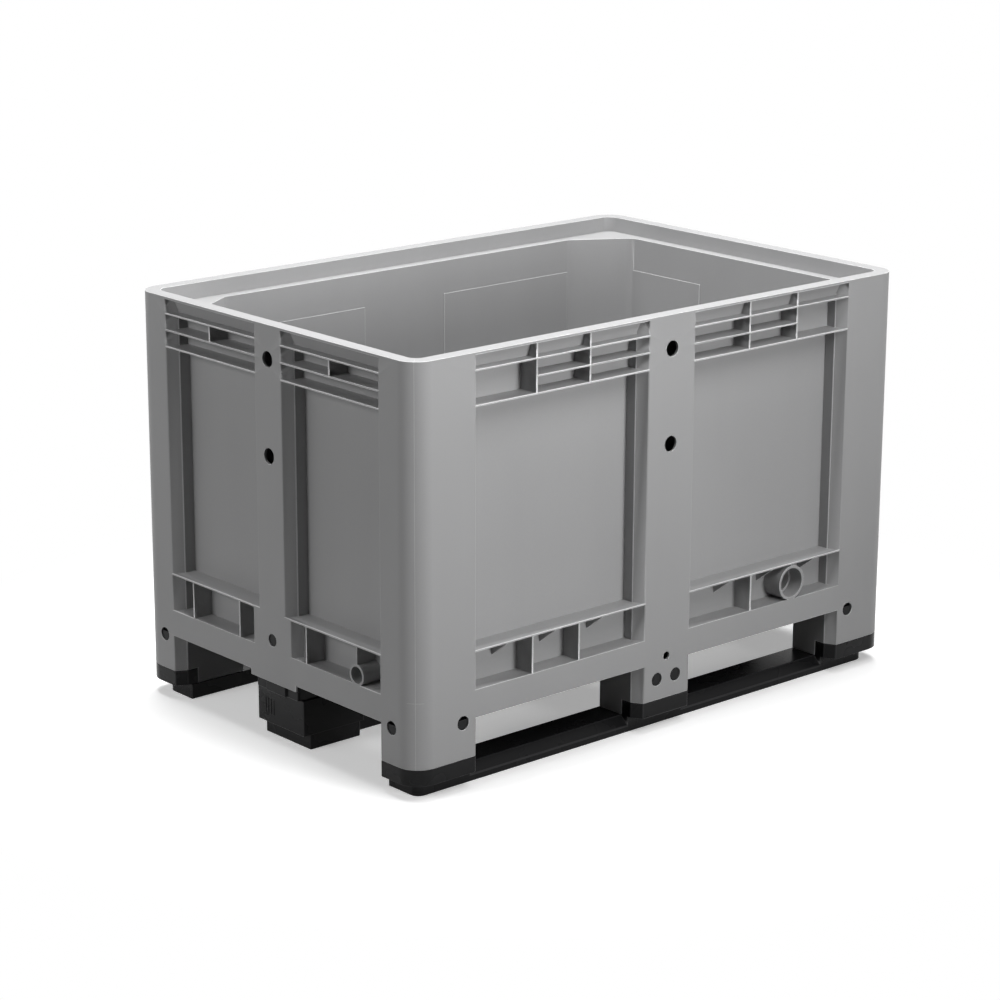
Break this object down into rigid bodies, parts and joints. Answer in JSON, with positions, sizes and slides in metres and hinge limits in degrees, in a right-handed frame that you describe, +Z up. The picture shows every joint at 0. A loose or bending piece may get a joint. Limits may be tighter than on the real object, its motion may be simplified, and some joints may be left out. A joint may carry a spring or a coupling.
{
  "type": "bulk pallet box",
  "caption": "Open grey plastic bulk box with ribbed walls and a stacking rim, on dark runners with fork entry from every side",
  "frame": {"origin": "on the ground, under the middle of the box", "axes": "+X along the long side, towards the end without an outlet; -Y is the front, the long side with the large outlet; +Z up"},
  "size_m": [1.2, 0.8, 0.78],
  "materials": {
    "grey_plastic": "injection-moulded polyolefin, satin, fine mould grain",
    "black_plastic": "injection-moulded recycled polyolefin, satin black"
  },
  "bodies": {
    "root": {"box_body": "grey_plastic", "runner_front": "black_plastic", "runner_middle": "black_plastic", "runner_back": "black_plastic"}
  },
  "joints": []
}
